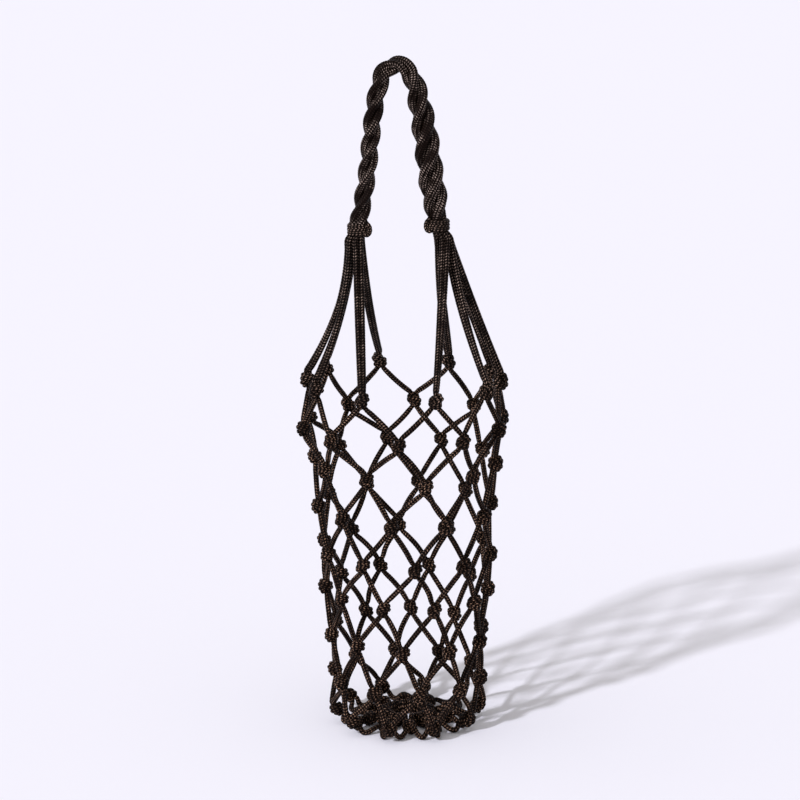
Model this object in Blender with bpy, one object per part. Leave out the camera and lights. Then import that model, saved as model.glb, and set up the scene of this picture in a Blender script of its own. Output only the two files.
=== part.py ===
"""Knotted cord carrier for a tumbler: a net of ten cord pairs, two gathered bundles and a twisted rope handle.

Metres, +Z up. The origin is on the ground under the net's axis, the front is -Y and +X is to the right.
Angles round the net are measured from the front, positive towards +X.
"""

import math

import bmesh
import bpy
import numpy as np
from mathutils import Vector

MM = 0.001
UP = np.array((0.0, 0.0, 1.0))

# Cord
CORD_DIAMETER = 2.6 * MM
CORD_SIDES = 5
GAP = 0.3 * MM
FLAT_SHARE = 0.1

# Net: ten columns of knots, nine rows round the wall and one row under the base
COLUMNS = 10
WALL_ROW_SPACINGS = tuple(step * MM for step in (20.8, 18.3, 22.3, 21.3, 20.6, 22.1, 21.6, 17.7))
WALL_ROW_RADII = tuple(radius * MM for radius in (46.4, 48.3, 43.8, 42.2, 41.2, 39.5, 37.8, 36.0, 34.4))
LOWEST_WALL_ROW_Z = 6.9 * MM
WALL_TILT = math.radians(5.4)
FIRST_COLUMN_ANGLE = math.radians(-21.1)
GATHER_PLANE_ANGLE = math.radians(-3.1)
GATHER_PER_ROW = tuple(math.radians(angle) for angle in (6.5, 4.4))
DRIFT_PER_ROW = math.radians(1.14)
DRIFT_GROWTH = math.radians(0.316)
BASE_CORNER_TILT = math.radians(45.0)
BASE_ROW_RADIUS = 20.0 * MM
BASE_RING_RADIUS = 10.5 * MM
STRAND_END_INSIDE_RING = 0.8 * MM

# Knots: two strands make one full turn round each other and part again
KNOT_TURN_RADIUS = 2.5 * MM
KNOT_LENGTH = 7.0 * MM
KNOT_STEPS = 4

# Gathered bundles and the whippings that tie them
BUNDLE_X = {"left": -20.4 * MM, "right": 17.2 * MM}
BUNDLE_CORD_DIAMETER = 1.6 * MM
WHIPPING_CORD_DIAMETER = 2.2 * MM
WHIPPING_TURNS = 2
WHIPPING_STEPS_PER_TURN = 12
WHIPPING_SIDES = 6
WHIPPING_MIDDLE_Z = 245.7 * MM
BUNDLE_STICKS_OUT = 0.2 * MM

# Hangers: the five cord pairs from each bundle down to the top row of knots
HANGER_SPREAD_POWER = {"left": 1.7, "right": 1.1}
HANGER_STATIONS = (0.12, 0.3, 0.55, 0.8, 0.95)
HANGER_FULL_SIZE_AT = 0.12
HANGER_PAIRED_AT = 0.3

# Rope handle: three plies twisted round an arch
HANDLE_ARCH = tuple(
    (x * MM, z * MM)
    for x, z in (
        (-20.2, 246.0),
        (-17.7, 259.5),
        (-15.3, 274.0),
        (-13.4, 290.0),
        (-11.4, 304.5),
        (-8.9, 314.6),
        (-6.4, 320.3),
        (-1.0, 323.2),
        (4.4, 320.3),
        (7.1, 314.6),
        (9.6, 304.6),
        (12.4, 288.0),
        (13.8, 276.0),
        (15.7, 262.0),
        (17.2, 246.0),
    )
)
HANDLE_SLIM = 9.0 * MM
HANDLE_FULL = 13.0 * MM
HANDLE_SLIM_X = 4.0 * MM
HANDLE_FULL_X = 14.0 * MM
HANDLE_PITCH = 36.0 * MM
PLIES = 3
PLY_SIDES = 6
PLY_STEPS_PER_TURN = 16
PLY_NEIGHBOUR_FACTOR = 0.84
CURVE_STEPS_PER_SPAN = 24
HINGE_ABOVE_WHIPPING = 6.8 * MM
HINGE_RUNNING_GAP = 0.5 * MM

CORD_COLOUR = (0.032, 0.022, 0.019, 1.0)
WHIPPING_COLOUR = (0.026, 0.018, 0.016, 1.0)
HANDLE_COLOUR = (0.036, 0.024, 0.02, 1.0)
CORD_ROUGHNESS = 0.5
SHARP_ANGLE = math.radians(80.0)

# Values that follow from the sizes above
WALL_ROWS = len(WALL_ROW_RADII)
BASE_ROW = WALL_ROWS
CORD_RADIUS = CORD_DIAMETER / 2
GROUND_FLAT = FLAT_SHARE * CORD_DIAMETER
RING_Z = CORD_RADIUS - GROUND_FLAT
BASE_ROW_Z = KNOT_TURN_RADIUS + CORD_RADIUS - GROUND_FLAT
STRAND_END_Z = RING_Z + CORD_DIAMETER + GAP
WHIPPING_PITCH = WHIPPING_CORD_DIAMETER + GAP
WHIPPING_HEIGHT = WHIPPING_TURNS * WHIPPING_PITCH
WHIPPING_TOP_Z = WHIPPING_MIDDLE_Z + (WHIPPING_HEIGHT + WHIPPING_CORD_DIAMETER) / 2
WHIPPING_BOTTOM_Z = 2 * WHIPPING_MIDDLE_Z - WHIPPING_TOP_Z
BUNDLE_SPACING = BUNDLE_CORD_DIAMETER + GAP
INNER_SLOT_RADIUS = BUNDLE_SPACING / 2
OUTER_SLOT_SPREAD = 1.45
OUTER_SLOT_RADIUS = OUTER_SLOT_SPREAD * BUNDLE_SPACING
BUNDLE_RADIUS = OUTER_SLOT_RADIUS + BUNDLE_CORD_DIAMETER / 2
WHIPPING_RADIUS = BUNDLE_RADIUS + GAP + WHIPPING_CORD_DIAMETER / 2
BUNDLE_TOP_Z = WHIPPING_TOP_Z + BUNDLE_STICKS_OUT
HINGE_Z = WHIPPING_TOP_Z + HINGE_ABOVE_WHIPPING
HANDLE_REACH_BELOW_HINGE = HINGE_Z - BUNDLE_TOP_Z - HINGE_RUNNING_GAP


def unit(vector):
    """The vector scaled to length one."""
    return vector / np.linalg.norm(vector)


def clear_scene():
    """Remove every object, so that the script starts from an empty scene."""
    for thing in list(bpy.data.objects):
        bpy.data.objects.remove(thing, do_unlink=True)


def cord_material(name, colour):
    """A satin textile finish of its own for one piece."""
    finish = bpy.data.materials.new(name)
    finish.use_nodes = True
    shader = finish.node_tree.nodes["Principled BSDF"]
    shader.inputs["Base Color"].default_value = colour
    shader.inputs["Roughness"].default_value = CORD_ROUGHNESS
    shader.inputs["Metallic"].default_value = 0.0
    return finish


def carried_normals(directions):
    """One normal for each straight run of a path, each turned from the last by the least turn."""
    first = directions[0]
    helper = UP if abs(first[2]) < 0.9 else np.array((1.0, 0.0, 0.0))
    normal = unit(np.cross(first, helper))
    normals = [normal]
    for before, after in zip(directions[:-1], directions[1:]):
        axis = np.cross(before, after)
        cosine = float(np.dot(before, after))
        normal = normal * cosine + np.cross(axis, normal) + axis * np.dot(axis, normal) / (1.0 + cosine)
        normals.append(unit(normal))
    return np.array(normals)


def tube(points, diameters, sides):
    """Vertices and faces of a closed tube: a regular polygon carried along the points, mitred at each bend."""
    points = np.asarray(points, dtype=float)
    radii = np.broadcast_to(np.asarray(diameters, dtype=float) / 2, (len(points),))
    runs = np.diff(points, axis=0)
    directions = runs / np.linalg.norm(runs, axis=1)[:, None]
    normals = carried_normals(directions)
    angles = np.arange(sides) * 2 * math.pi / sides
    vertices = []
    for index, point in enumerate(points):
        run = max(index - 1, 0)
        along = directions[run]
        onward = directions[min(index, len(directions) - 1)]
        plane = unit(along + onward)
        across = np.cross(along, normals[run])
        spokes = np.cos(angles)[:, None] * normals[run] + np.sin(angles)[:, None] * across
        offsets = radii[index] * spokes
        slide = offsets @ plane / np.dot(along, plane)
        vertices.extend(point + offsets - slide[:, None] * along)
    faces = []
    for ring in range(len(points) - 1):
        for side in range(sides):
            here = ring * sides + side
            beside = ring * sides + (side + 1) % sides
            faces.append((here, beside, beside + sides, here + sides))
    last = (len(points) - 1) * sides
    faces.append(tuple(range(sides - 1, -1, -1)))
    faces.append(tuple(range(last, last + sides)))
    return vertices, faces


def add_piece(name, vertices, faces, colour, origin=(0.0, 0.0, 0.0), parent=None):
    """Make a named object from world-space vertices, with its origin and its parent where they are asked for."""
    origin = Vector(origin)
    mesh = bpy.data.meshes.new(name)
    mesh.from_pydata([Vector(vertex) - origin for vertex in vertices], [], faces)
    mesh.shade_smooth()
    mesh.set_sharp_from_angle(angle=SHARP_ANGLE)
    mesh.materials.append(cord_material(name, colour))
    piece = bpy.data.objects.new(name, mesh)
    piece.location = origin
    if parent is not None:
        piece.parent = parent
        piece.location = origin - parent.location
    bpy.context.scene.collection.objects.link(piece)
    return piece


def add_pivot(name, location):
    """An empty that marks where a group of pieces is carried."""
    pivot = bpy.data.objects.new(name, None)
    pivot.location = location
    bpy.context.scene.collection.objects.link(pivot)
    return pivot


def cut_flat_on_ground(piece):
    """Slice off what lies below the ground and close the cuts, so that the piece stands on flats."""
    work = bmesh.new()
    work.from_mesh(piece.data)
    ground = piece.matrix_basis.inverted() @ Vector((0.0, 0.0, 0.0))
    everything = work.verts[:] + work.edges[:] + work.faces[:]
    bmesh.ops.bisect_plane(work, geom=everything, plane_co=ground, plane_no=(0, 0, 1), clear_inner=True)
    rim = [edge for edge in work.edges if edge.is_boundary]
    bmesh.ops.triangle_fill(work, use_beauty=True, edges=rim, normal=(0, 0, -1))
    work.to_mesh(piece.data)
    work.free()


def row_height(row):
    """Height of a row of knots, the top row being row 0."""
    if row == BASE_ROW:
        return BASE_ROW_Z
    return LOWEST_WALL_ROW_Z + sum(WALL_ROW_SPACINGS[row:])


def row_radius(row):
    """Distance of a row's knots from the net's axis."""
    return BASE_ROW_RADIUS if row == BASE_ROW else WALL_ROW_RADII[row]


def knot_angle(row, column):
    """Angle of a knot: even columns, odd rows half a column on, and a slow drift as the rows go down.

    The top rows are also gathered towards the two bundles, away from the plane between them.
    """
    drift = DRIFT_PER_ROW * row + DRIFT_GROWTH * min(row, WALL_ROWS - 1) ** 2
    even = FIRST_COLUMN_ANGLE + column * 2 * math.pi / COLUMNS - drift
    if row >= len(GATHER_PER_ROW):
        return even
    from_plane = (even - GATHER_PLANE_ANGLE + math.pi) % (2 * math.pi) - math.pi
    return even + GATHER_PER_ROW[row] * math.sin(2 * from_plane)


def row_tilt(row):
    """How far a row's knots lean from pointing straight down, to point inwards under the base."""
    if row == BASE_ROW:
        return math.pi / 2
    if row == WALL_ROWS - 1:
        return BASE_CORNER_TILT
    return WALL_TILT


def knot_frame(row, column):
    """A knot's centre, with unit vectors to its right, out of the net and onwards down the net."""
    angle = knot_angle(row, column)
    radial = np.array((math.sin(angle), -math.cos(angle), 0.0))
    right = np.array((math.cos(angle), math.sin(angle), 0.0))
    tilt = row_tilt(row)
    onward = -math.cos(tilt) * UP - math.sin(tilt) * radial
    outward = math.cos(tilt) * radial - math.sin(tilt) * UP
    return row_radius(row) * radial + row_height(row) * UP, right, outward, onward


def knot_turn(row, column, side):
    """One strand's full turn in a knot, from its own side round its neighbour and back to that side."""
    centre, right, outward, onward = knot_frame(row, column)
    turn = np.linspace(0.0, 2 * math.pi, KNOT_STEPS + 1)
    sideways = side * KNOT_TURN_RADIUS * np.cos(turn)
    out = -side * KNOT_TURN_RADIUS * np.sin(turn)
    along = np.linspace(-KNOT_LENGTH / 2, KNOT_LENGTH / 2, KNOT_STEPS + 1)
    return centre + sideways[:, None] * right + out[:, None] * outward + along[:, None] * onward


def bundle_slot(pair, leads):
    """A strand's place in its bundle, as inward and backward distances: eight strands round two.

    Pairs count from the front. The strand that leads in its pair is the one nearer the front.
    """
    step = math.pi / 4
    inner = {(1, False): -3 * step, (3, True): step}
    if (pair, leads) in inner:
        angle = inner[(pair, leads)]
        radius = INNER_SLOT_RADIUS
    else:
        order = [(0, True), (0, False), (1, True), (2, True), (2, False), (3, False), (4, True), (4, False)]
        angle = -step * (1.5 + order.index((pair, leads)))
        radius = OUTER_SLOT_RADIUS
    return np.array((radius * math.cos(angle), radius * math.sin(angle)))


def hanger_group(column):
    """Which bundle a column hangs from, and its number in that bundle from the front."""
    angle = (knot_angle(0, column) + math.pi) % (2 * math.pi) - math.pi
    group = "left" if angle < 0 else "right"
    return group, int(abs(angle) / (2 * math.pi / COLUMNS))


def hanger_points(column, side):
    """One strand from the top of its bundle down to its knot: the pair spreads, turns and grows to full size."""
    group, pair = hanger_group(column)
    inward = 1 if group == "left" else -1
    leads = side == inward
    slot = bundle_slot(pair, leads)
    partner = bundle_slot(pair, not leads)
    start_middle = (slot + partner) / 2
    start_offset = (slot - partner) / 2
    centre, right, _, onward = knot_frame(0, column)
    top = centre - onward * KNOT_LENGTH / 2
    end_middle = np.array((inward * (top[0] - BUNDLE_X[group]), top[1]))
    end_offset = side * np.array((inward * right[0], right[1]))
    start_angle = math.atan2(start_offset[1], start_offset[0])
    turn = math.atan2(end_offset[1], end_offset[0]) - start_angle
    turn = (turn + math.pi) % (2 * math.pi) - math.pi
    start_half = np.linalg.norm(start_offset)
    paired_half = (CORD_DIAMETER + GAP) / 2
    points = []
    diameters = []
    for height in (BUNDLE_TOP_Z, WHIPPING_BOTTOM_Z):
        points.append((BUNDLE_X[group] + inward * slot[0], slot[1], height))
        diameters.append(BUNDLE_CORD_DIAMETER)
    for station in HANGER_STATIONS:
        spread = station ** HANGER_SPREAD_POWER[group]
        growth = min(station / HANGER_FULL_SIZE_AT, 1.0)
        pairing = min(station / HANGER_PAIRED_AT, 1.0)
        swell = 1.0 + growth * ((CORD_DIAMETER + GAP) / BUNDLE_SPACING - 1.0)
        half = swell * start_half + pairing * (paired_half - swell * start_half)
        angle = start_angle + station * turn
        middle = swell * start_middle * (1.0 - spread) + spread * end_middle
        place = middle + half * np.array((math.cos(angle), math.sin(angle)))
        height = WHIPPING_BOTTOM_Z + station * (top[2] - WHIPPING_BOTTOM_Z)
        points.append((BUNDLE_X[group] + inward * place[0], place[1], height))
        diameters.append(BUNDLE_CORD_DIAMETER + growth * (CORD_DIAMETER - BUNDLE_CORD_DIAMETER))
    return points, diameters


def strand_end(column, side):
    """Where a strand lies over the base ring: the twenty ends share the ring evenly."""
    angle = knot_angle(BASE_ROW, column + side / 2) - side * math.pi / (2 * COLUMNS)
    radius = BASE_RING_RADIUS - STRAND_END_INSIDE_RING
    return (radius * math.sin(angle), -radius * math.cos(angle), STRAND_END_Z)


def strand(column, side):
    """A whole strand: bundle, hanger, a knot in every row, and its end over the base ring."""
    points, diameters = hanger_points(column, side)
    for row in range(WALL_ROWS + 1):
        odd = row % 2
        in_knot = knot_turn(row, column + odd * side / 2, -side if odd else side)
        points.extend(in_knot)
        diameters.extend([CORD_DIAMETER] * len(in_knot))
    points.append(strand_end(column, side))
    diameters.append(CORD_DIAMETER)
    return points, diameters


def add_net(carrier):
    """The twenty strands of the net, two to a column."""
    for column in range(COLUMNS):
        for side, word in ((-1, "left"), (1, "right")):
            points, diameters = strand(column, side)
            vertices, faces = tube(points, diameters, CORD_SIDES)
            name = f"net_cord_{column + 1:02d}_{word}"
            cut_flat_on_ground(add_piece(name, vertices, faces, CORD_COLOUR, parent=carrier))


def add_base_ring(carrier):
    """The cord ring in the middle of the base, on which the strands are hitched."""
    bpy.ops.mesh.primitive_torus_add(
        major_segments=2 * COLUMNS,
        minor_segments=WHIPPING_SIDES,
        major_radius=BASE_RING_RADIUS,
        minor_radius=CORD_RADIUS,
        location=(0.0, 0.0, RING_Z),
    )
    ring = bpy.context.object
    ring.name = "base_ring"
    ring.data.materials.append(cord_material("base_ring", CORD_COLOUR))
    ring.data.shade_smooth()
    ring.data.set_sharp_from_angle(angle=SHARP_ANGLE)
    cut_flat_on_ground(ring)
    ring.parent = carrier


def add_whipping(group, carrier):
    """Two tight turns of cord round one bundle, wound up its axis."""
    steps = WHIPPING_TURNS * WHIPPING_STEPS_PER_TURN
    turn = np.linspace(0.0, WHIPPING_TURNS * 2 * math.pi, steps + 1)
    bottom = WHIPPING_MIDDLE_Z - WHIPPING_HEIGHT / 2
    x = BUNDLE_X[group] + WHIPPING_RADIUS * np.cos(turn)
    y = WHIPPING_RADIUS * np.sin(turn)
    z = bottom + WHIPPING_PITCH * turn / (2 * math.pi)
    vertices, faces = tube(np.column_stack((x, y, z)), WHIPPING_CORD_DIAMETER, WHIPPING_SIDES)
    middle = (BUNDLE_X[group], 0.0, WHIPPING_MIDDLE_Z)
    add_piece(f"{group}_whipping", vertices, faces, WHIPPING_COLOUR, origin=middle, parent=carrier)


def smooth_curve(points):
    """Dense points on a smooth curve through the given ones, each span a cubic with shared tangents."""
    points = np.asarray(points, dtype=float)
    padded = np.vstack((2 * points[0] - points[1], points, 2 * points[-1] - points[-2]))
    share = np.linspace(0.0, 1.0, CURVE_STEPS_PER_SPAN, endpoint=False)[:, None]
    spans = []
    for before, start, end, after in zip(padded, padded[1:], padded[2:], padded[3:]):
        leave = (end - before) / 2
        arrive = (after - start) / 2
        rise = 3 * (end - start) - 2 * leave - arrive
        fall = 2 * (start - end) + leave + arrive
        spans.append(start + leave * share + rise * share**2 + fall * share**3)
    return np.vstack(spans + [points[-1:]])


def run_lengths(points):
    """Distance along a path at each of its points."""
    return np.concatenate(([0.0], np.cumsum(np.linalg.norm(np.diff(points, axis=0), axis=1))))


def handle_thickness(x, z):
    """Overall thickness of the rope: slim on the left, fuller on the right, rounded off above the whippings."""
    share = np.clip((x - HANDLE_SLIM_X) / (HANDLE_FULL_X - HANDLE_SLIM_X), 0.0, 1.0)
    body = HANDLE_SLIM + share * (HANDLE_FULL - HANDLE_SLIM)
    below = np.clip(HINGE_Z - z, 0.0, HANDLE_REACH_BELOW_HINGE)
    return np.minimum(body, 2 * np.sqrt(HANDLE_REACH_BELOW_HINGE**2 - below**2))


def ply_sizes(thickness):
    """Turn radius and diameter of the plies that fill a rope of this thickness with a gap between them."""
    spread = PLY_NEIGHBOUR_FACTOR * 2 * math.sin(math.pi / PLIES)
    turn_radius = (thickness + GAP) / (2 + spread)
    return turn_radius, spread * turn_radius - GAP


def handle_centre_line():
    """Even points along the middle of the rope, from one whipping to the other, with their distances."""
    lowest = HINGE_Z - HANDLE_REACH_BELOW_HINGE + HINGE_RUNNING_GAP
    arch = smooth_curve(HANDLE_ARCH)
    arch = arch[arch[:, 1] >= lowest]
    lengths = run_lengths(arch)
    count = round(lengths[-1] / HANDLE_PITCH * PLY_STEPS_PER_TURN) + 1
    run = np.linspace(0.0, lengths[-1], count)
    x = np.interp(run, lengths, arch[:, 0])
    z = np.interp(run, lengths, arch[:, 1])
    return np.column_stack((x, np.zeros(count), z)), run


def add_handle(pivot):
    """Three plies wound together along the arch, clear of the whippings at every angle of the handle."""
    centre, run = handle_centre_line()
    tangent = np.gradient(centre, axis=0)
    tangent /= np.linalg.norm(tangent, axis=1)[:, None]
    backward = np.array((0.0, 1.0, 0.0))
    outward = np.cross(backward, tangent)
    turn_radius, diameter = ply_sizes(handle_thickness(centre[:, 0], centre[:, 2]))
    for ply in range(PLIES):
        turn = 2 * math.pi * (ply / PLIES + run / HANDLE_PITCH)
        out = turn_radius * np.cos(turn)
        back = turn_radius * np.sin(turn)
        points = centre + out[:, None] * outward + back[:, None] * backward
        vertices, faces = tube(points, diameter, PLY_SIDES)
        add_piece(f"handle_ply_{ply + 1}", vertices, faces, HANDLE_COLOUR, origin=pivot.location, parent=pivot)


def main():
    """Build the carrier: net, base ring and whippings on one carrier, the handle on its hinge line."""
    clear_scene()
    carrier = add_pivot("net_carrier", (0.0, 0.0, 0.0))
    pivot = add_pivot("handle_hinge", (0.0, 0.0, HINGE_Z))
    add_net(carrier)
    add_base_ring(carrier)
    for group in BUNDLE_X:
        add_whipping(group, carrier)
    add_handle(pivot)


main()
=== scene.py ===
"""Knotted cord carrier: braided cords, tied knots, whippings and the rope handle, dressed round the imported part."""
import math

import bpy
import numpy as np
from mathutils import Matrix, Vector


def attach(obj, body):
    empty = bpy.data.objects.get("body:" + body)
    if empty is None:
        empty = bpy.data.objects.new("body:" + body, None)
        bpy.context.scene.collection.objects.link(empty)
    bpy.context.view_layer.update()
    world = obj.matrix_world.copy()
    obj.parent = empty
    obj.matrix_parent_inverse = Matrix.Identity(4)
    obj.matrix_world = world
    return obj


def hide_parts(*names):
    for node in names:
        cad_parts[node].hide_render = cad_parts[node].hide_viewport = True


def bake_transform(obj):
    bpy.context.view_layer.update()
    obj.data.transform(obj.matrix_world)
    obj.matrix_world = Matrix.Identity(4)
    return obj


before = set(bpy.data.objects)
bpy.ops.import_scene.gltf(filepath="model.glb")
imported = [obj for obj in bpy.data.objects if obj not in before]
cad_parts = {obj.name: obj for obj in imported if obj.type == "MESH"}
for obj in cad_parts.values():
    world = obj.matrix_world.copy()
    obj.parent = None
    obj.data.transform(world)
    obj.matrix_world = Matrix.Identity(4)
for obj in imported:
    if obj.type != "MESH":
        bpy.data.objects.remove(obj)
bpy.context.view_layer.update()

MM = 0.001
UP = np.array((0.0, 0.0, 1.0))
RIGHT = np.array((1.0, 0.0, 0.0))
BACK = np.array((0.0, 1.0, 0.0))
INWARD = {"left": 1, "right": -1}
STEEP = 0.9
SEED = 11

# Net lattice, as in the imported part
COLUMNS = 10
WALL_ROW_SPACINGS = tuple(step * MM for step in (20.8, 18.3, 22.3, 21.3, 20.6, 22.1, 21.6, 17.7))
WALL_ROW_RADII = tuple(radius * MM for radius in (46.4, 48.3, 43.8, 42.2, 41.2, 39.5, 37.8, 36.0, 34.4))
LOWEST_WALL_ROW_Z = 6.9 * MM
WALL_TILT = math.radians(5.4)
FIRST_COLUMN_ANGLE = math.radians(-21.1)
GATHER_PLANE_ANGLE = math.radians(-3.1)
GATHER_PER_ROW = tuple(math.radians(angle) for angle in (6.5, 4.4))
BACK_TURN_PER_ROW = tuple(math.radians(angle) for angle in (-4.0, -2.0))
DRIFT_PER_ROW = math.radians(1.14)
DRIFT_GROWTH = math.radians(0.316)
ROW_LEANS = tuple(lean * MM for lean in (0.4, 0.0, 1.2, 1.5, 1.5, 1.5, 1.5, 0.8, 0.4))
KNOTS_OFF_PLACE = {(1, 0.5): (1.8 * MM, 0.3 * MM), (2, 1): (1.1 * MM, -2.5 * MM)}
ROW_SHIFTS = tuple(shift * MM for shift in (0.4, -0.2, 0.4, 0.3, 0.8, 0.5, 0.3, 0.2, 0.0))
BASE_CORNER_TILT = math.radians(50.0)
BASE_ROW_RADIUS = 20.0 * MM
BASE_ROW_Z = 3.6 * MM
BASE_RING_RADIUS = 10.5 * MM
BASE_RING_Z = 3.3 * MM
# Outwards from the base ring, beside the hitch's middle and above the ground, in mm
HITCH_STATIONS = (
    (5.4, 1.9, 2.4),
    (2.6, 1.5, 1.5),
    (0.0, 1.4, 1.0),
    (-2.3, 1.4, 1.9),
    (-2.5, 1.5, 4.2),
    (0.0, 1.6, 5.9),
    (2.3, 1.5, 4.9),
    (3.4, 0.7, 3.9),
    (3.6, 0.0, 3.8),
)
WALL_ROWS = len(WALL_ROW_RADII)
BASE_ROW = WALL_ROWS

# Cord and its braided sheath
CORD_RADIUS = 1.3 * MM
SHEATH_COLUMNS = 6
SIDES_PER_COLUMN = 3
STITCH_PITCH = 1.43 * MM
HANDLE_STITCH_PITCH = 1.12 * MM
RINGS_PER_STITCH = 4
RING_STEP = STITCH_PITCH / RINGS_PER_STITCH
HANDLE_RING_STEP = HANDLE_STITCH_PITCH / RINGS_PER_STITCH
STITCH_SLANT = 0.62
STITCH_RELIEF = 0.2 * MM
STITCH_FULLNESS = 0.7
SHEATH_SINKS = 0.6
COLUMN_CREASE = 0.35
END_ROUNDED_RINGS = 4.0
END_ROUNDING = 0.9
GROUND_CUSHION = 0.5 * MM
BRAID_UV = "braid"

# Knots: both cords of a crossing are tied together in one overhand knot, worked out in mm.
# It is tied first as one thick cord and then laid double.
OVERHAND_ENDS_AT = 2.12
OVERHAND_POINTS = 400
OVERHAND_STRETCH = (2.6, 2.6, 0.75)
THICK_CORD_POINTS = 60
THICK_CORD_REACH = 14.0
THICK_CORD_CONTACT = 4.6
THICK_CORD_LENGTH = 66.0
THICK_CORD_STEPS = 1200
DOUBLED_HALF = 1.1
KNOT_STEPS = 700
KNOT_POINTS = 56
KNOT_REACH = 10.0
KNOT_SPREAD = 6.2
KNOT_PAIR_SPREAD = 1.3
KNOT_CONTACT = 1.85
KNOT_CORD_LENGTH = 40.0
KNOT_CORD_LENGTH_PAIRED = 42.0
KNOT_KEPT_WITHIN = 4.4
KNOT_CORD_RADIUS = 1.14 * MM
KNOT_SQUEEZE_WITHIN = 4.0 * MM
KNOT_SQUEEZE_ENDS_AT = 7.0 * MM
KNOT_SIZES = (0.94, 1.04)
KNOT_TURNS = math.radians(9.0)

# How a knot is pulled tight: shares of the steps, shares of each fault put right in a step, and repeats
TIGHTENED_AFTER = 0.7
PINNED_AFTER = 0.2
LEAST_PIN = 0.02
BEND_SOFTENING = 0.12
LENGTH_PULL = 0.45
LENGTH_REPEATS = 6
CONTACT_PUSH = 0.25
CONTACT_REPEATS = 2
OWN_CORD_CLEARANCE = 1.3

# Spans between the knots
SPAN_STATIONS = (0.16, 0.38, 0.62, 0.84)
SPAN_BOW = 0.8 * MM
LOW_SPAN_BOW = 0.5 * MM
LOW_SPANS_FROM_ROW = 4
BASE_SLACK = (0.5 * MM, 3.5 * MM)
BASE_CORD_Z = 1.25 * MM
STRAND_SOFTENING = 8

# Bundles, whippings and hangers
BUNDLE_X = {"left": -20.5 * MM, "right": 18.0 * MM}
NECK_X = {"left": -21.9 * MM, "right": 20.2 * MM}
BUNDLE_SPACING = 2.5 * MM
# A cord is known by its pair's number and by whether it leads, and its place is in eighths of a turn
BUNDLE_INNER_REACH = 0.5 * BUNDLE_SPACING
BUNDLE_OUTER_REACH = 1.45 * BUNDLE_SPACING
BUNDLE_INNER_CORDS = {(1, False): -3, (3, True): 1}
BUNDLE_OUTER_CORDS = ((0, True), (0, False), (1, True), (2, True), (2, False), (3, False), (4, True), (4, False))
BUNDLE_OUTER_START = 1.5
BUNDLE_TURN = {"left": math.radians(27.0), "right": math.radians(-8.0)}
WRAP_SQUEEZE = 0.64
WRAP_HOLDS_BELOW = 1.5 * MM
ROPE_END_SQUEEZE = 0.88
NECK_CORD_RADIUS = 1.22 * MM
WHIPPING_MIDDLE_Z = {"left": 245.7 * MM, "right": 247.2 * MM}
BUNDLE_TOP_Z = 247.5 * MM
BUNDLE_NECK_Z = 240.5 * MM
BUNDLE_FREE_Z = 225.0 * MM
WRAP_RADIUS = {"left": 3.95 * MM, "right": 4.2 * MM}
WRAP_CORD_RADIUS = 1.12 * MM
WRAP_TURNS = 3.3
WRAP_START = math.radians(100.0)
WRAP_POINTS = 120
WRAP_SOFTENING = 10
WRAP_RISE = 5.2 * MM
WRAP_SLANT = 0.45 * MM
# Outwards from the winding, back and up from its middle, in mm
WRAP_BIGHT = (
    (0.5, -2.6, 2.6),
    (1.5, -2.2, 1.6),
    (1.9, -2.0, 0.0),
    (1.7, -2.2, -1.9),
    (0.4, -2.7, -3.0),
    (-1.0, -2.9, -2.2),
    (-1.6, -1.6, -1.0),
)
# 1 for a hanger that runs straight out to its knot, less for one that hangs down first
HANGER_LEANS = {"left": (0.45, 0.2, 0.05, 0.45, 0.4), "right": (0.6, 0.45, 0.9, 1.1, 0.6)}
HANGER_STATIONS = (0.07, 0.16, 0.28, 0.42, 0.58, 0.74, 0.88, 0.96)
HANGER_PAIRED_AT = 0.07

# Rope handle
HANDLE_ARCH = tuple(
    (x * MM, z * MM)
    for x, z in (
        (-20.5, 246.0),
        (-17.7, 259.5),
        (-15.3, 274.0),
        (-13.4, 290.0),
        (-11.4, 304.5),
        (-8.9, 314.6),
        (-6.4, 320.3),
        (-1.0, 323.2),
        (4.4, 320.3),
        (7.1, 314.6),
        (9.6, 304.6),
        (12.4, 288.0),
        (13.8, 276.0),
        (15.7, 262.0),
        (18.0, 246.0),
    )
)
ARCH_STEP = 0.2 * MM
PLIES = 3
CORDS_PER_PLY = 3
PLY_RADIUS_SHARE = 0.232
ROPE_SLIM = 9.0 * MM
ROPE_FULL = 12.8 * MM
ROPE_GROWS_FROM_X = 4.0 * MM
ROPE_GROWS_TO_X = 14.0 * MM
PITCH_LEFT = 35.2 * MM
PITCH_RIGHT = 39.0 * MM
TWIST_START = math.radians(20.0)
ROPE_GATHERS_OVER = {"left": 9.0 * MM, "right": 15.0 * MM}
ROPE_END_REACH = 2.6 * MM
ROPE_CORD_RADIUS = 1.42 * MM
CORE_OFFSET = 0.25 * ROPE_CORD_RADIUS
TAILS_START_AT_SHARE = 0.25
HANDLE_STATION_STEP = 3
HANDLE_SOFTENING = 3

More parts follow.
